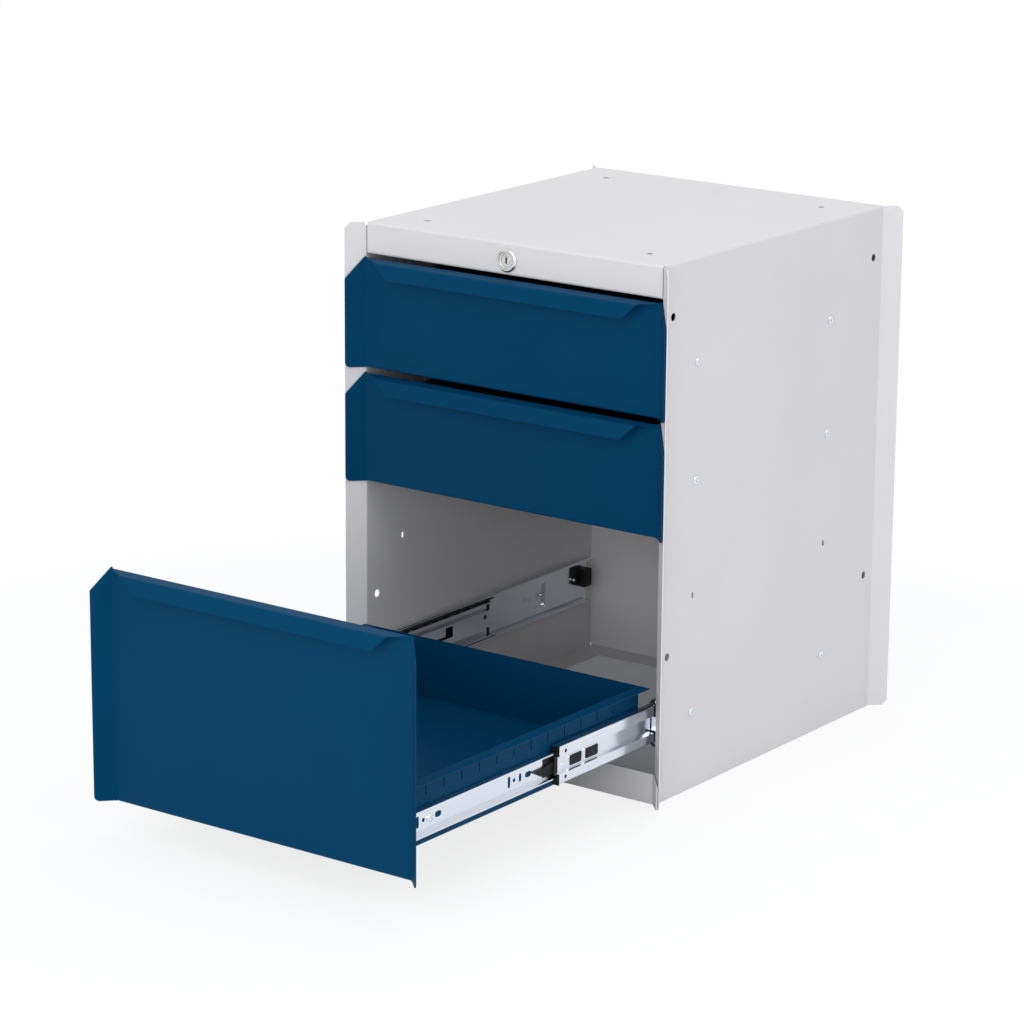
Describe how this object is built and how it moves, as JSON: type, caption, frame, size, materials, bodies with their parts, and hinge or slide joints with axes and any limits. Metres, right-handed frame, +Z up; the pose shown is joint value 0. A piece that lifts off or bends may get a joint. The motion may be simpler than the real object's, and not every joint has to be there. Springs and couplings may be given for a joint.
{
  "type": "under-bench drawer pedestal",
  "caption": "Sheet-steel drawer pedestal for under a bench: grey carcass, blue drawers with grip lips on full-extension ball slides, central lock, deep bottom drawer open.",
  "frame": {"origin": "on the floor, under the middle of the object's bounding box with the bottom drawer open", "axes": "+X to the right seen from the front, +Y to the rear (drawers open towards -Y), +Z up"},
  "size_m": [0.364, 0.7573, 0.5],
  "materials": {
    "grey_powder_coat": "light grey powder coat, fine texture",
    "blue_powder_coat": "deep blue powder coat, semi-gloss",
    "zinc_plated_steel": "bright zinc plating",
    "black_plastic": "moulded black plastic",
    "lock_nickel": "nickel-plated die casting"
  },
  "bodies": {
    "carcass": {"shell": "grey_powder_coat", "back_panel": "grey_powder_coat", "plinth": "grey_powder_coat", "lock_housing": "lock_nickel", "lock_nut": "zinc_plated_steel", "rod_bracket": "zinc_plated_steel", "bar_guides": "black_plastic", "slide_screws": "zinc_plated_steel", "rear_stops": "black_plastic", "outer_1l": "zinc_plated_steel", "outer_1r": "zinc_plated_steel", "outer_2l": "zinc_plated_steel", "outer_2r": "zinc_plated_steel", "outer_3l": "zinc_plated_steel", "outer_3r": "zinc_plated_steel"},
    "lock_cylinder": {"lock_plug": "lock_nickel", "lock_rod": "zinc_plated_steel"},
    "locking_bar": {"lock_bar": "zinc_plated_steel", "bar_hooks": "zinc_plated_steel"},
    "drawer_1": {"front_1": "blue_powder_coat", "box_1": "blue_powder_coat", "catch_1": "zinc_plated_steel", "inner_1l": "zinc_plated_steel", "inner_1r": "zinc_plated_steel", "levers_1": "black_plastic", "drawer_screws_1": "zinc_plated_steel"},
    "middle_1_left": {"middle_1l": "zinc_plated_steel", "cap_1l": "black_plastic"},
    "middle_1_right": {"middle_1r": "zinc_plated_steel", "cap_1r": "black_plastic"},
    "outer_cages_1": {"cages_outer_1": "black_plastic"},
    "inner_cages_1": {"cages_inner_1": "black_plastic"},
    "drawer_2": {"front_2": "blue_powder_coat", "box_2": "blue_powder_coat", "catch_2": "zinc_plated_steel", "inner_2l": "zinc_plated_steel", "inner_2r": "zinc_plated_steel", "levers_2": "black_plastic", "drawer_screws_2": "zinc_plated_steel"},
    "middle_2_left": {"middle_2l": "zinc_plated_steel", "cap_2l": "black_plastic"},
    "middle_2_right": {"middle_2r": "zinc_plated_steel", "cap_2r": "black_plastic"},
    "outer_cages_2": {"cages_outer_2": "black_plastic"},
    "inner_cages_2": {"cages_inner_2": "black_plastic"},
    "drawer_3": {"front_3": "blue_powder_coat", "box_3": "blue_powder_coat", "catch_3": "zinc_plated_steel", "inner_3l": "zinc_plated_steel", "inner_3r": "zinc_plated_steel", "levers_3": "black_plastic", "drawer_screws_3": "zinc_plated_steel"},
    "middle_3_left": {"middle_3l": "zinc_plated_steel", "cap_3l": "black_plastic"},
    "middle_3_right": {"middle_3r": "zinc_plated_steel", "cap_3r": "black_plastic"},
    "outer_cages_3": {"cages_outer_3": "black_plastic"},
    "inner_cages_3": {"cages_inner_3": "black_plastic"}
  },
  "joints": [
    {"name": "drawer_1_slide", "type": "slide", "parent": "carcass", "child": "drawer_1", "axis": [0, -1, 0], "range_m": [0, 0.356]},
    {"name": "middle_1_left_slide", "type": "slide", "parent": "carcass", "child": "middle_1_left", "axis": [0, -1, 0], "range_m": [0, 0.14418]},
    {"name": "middle_1_right_slide", "type": "slide", "parent": "carcass", "child": "middle_1_right", "axis": [0, -1, 0], "range_m": [0, 0.14418]},
    {"name": "outer_cages_1_slide", "type": "slide", "parent": "carcass", "child": "outer_cages_1", "axis": [0, -1, 0], "range_m": [0, 0.07209]},
    {"name": "inner_cages_1_slide", "type": "slide", "parent": "carcass", "child": "inner_cages_1", "axis": [0, -1, 0], "range_m": [0, 0.25009]},
    {"name": "drawer_2_slide", "type": "slide", "parent": "carcass", "child": "drawer_2", "axis": [0, -1, 0], "range_m": [0, 0.356]},
    {"name": "middle_2_left_slide", "type": "slide", "parent": "carcass", "child": "middle_2_left", "axis": [0, -1, 0], "range_m": [0, 0.14418]},
    {"name": "middle_2_right_slide", "type": "slide", "parent": "carcass", "child": "middle_2_right", "axis": [0, -1, 0], "range_m": [0, 0.14418]},
    {"name": "outer_cages_2_slide", "type": "slide", "parent": "carcass", "child": "outer_cages_2", "axis": [0, -1, 0], "range_m": [0, 0.07209]},
    {"name": "inner_cages_2_slide", "type": "slide", "parent": "carcass", "child": "inner_cages_2", "axis": [0, -1, 0], "range_m": [0, 0.25009]},
    {"name": "drawer_3_slide", "type": "slide", "parent": "carcass", "child": "drawer_3", "axis": [0, -1, 0], "range_m": [-0.356, 0]},
    {"name": "middle_3_left_slide", "type": "slide", "parent": "carcass", "child": "middle_3_left", "axis": [0, -1, 0], "range_m": [-0.14418, 0]},
    {"name": "middle_3_right_slide", "type": "slide", "parent": "carcass", "child": "middle_3_right", "axis": [0, -1, 0], "range_m": [-0.14418, 0]},
    {"name": "outer_cages_3_slide", "type": "slide", "parent": "carcass", "child": "outer_cages_3", "axis": [0, -1, 0], "range_m": [-0.07209, 0]},
    {"name": "inner_cages_3_slide", "type": "slide", "parent": "carcass", "child": "inner_cages_3", "axis": [0, -1, 0], "range_m": [-0.25009, 0]},
    {"name": "lock_turn", "type": "hinge", "parent": "carcass", "child": "lock_cylinder", "pos_m": [-0.004, 0.01425, 0.484], "axis": [0, 1, 0], "range_deg": [0, 90]},
    {"name": "locking_bar_slide", "type": "slide", "parent": "carcass", "child": "locking_bar", "axis": [0, 0, -1], "range_m": [0, 0.01414]}
  ],
  "couplings": [
    {"joint": "middle_1_left_slide", "follows": "drawer_1_slide", "ratio": 0.405},
    {"joint": "middle_1_right_slide", "follows": "drawer_1_slide", "ratio": 0.405},
    {"joint": "outer_cages_1_slide", "follows": "drawer_1_slide", "ratio": 0.2025},
    {"joint": "inner_cages_1_slide", "follows": "drawer_1_slide", "ratio": 0.7025},
    {"joint": "middle_2_left_slide", "follows": "drawer_2_slide", "ratio": 0.405},
    {"joint": "middle_2_right_slide", "follows": "drawer_2_slide", "ratio": 0.405},
    {"joint": "outer_cages_2_slide", "follows": "drawer_2_slide", "ratio": 0.2025},
    {"joint": "inner_cages_2_slide", "follows": "drawer_2_slide", "ratio": 0.7025},
    {"joint": "middle_3_left_slide", "follows": "drawer_3_slide", "ratio": 0.405},
    {"joint": "middle_3_right_slide", "follows": "drawer_3_slide", "ratio": 0.405},
    {"joint": "outer_cages_3_slide", "follows": "drawer_3_slide", "ratio": 0.2025},
    {"joint": "inner_cages_3_slide", "follows": "drawer_3_slide", "ratio": 0.7025},
    {"joint": "lock_turn", "follows": "locking_bar_slide", "rad_per_m": 111.08}
  ]
}
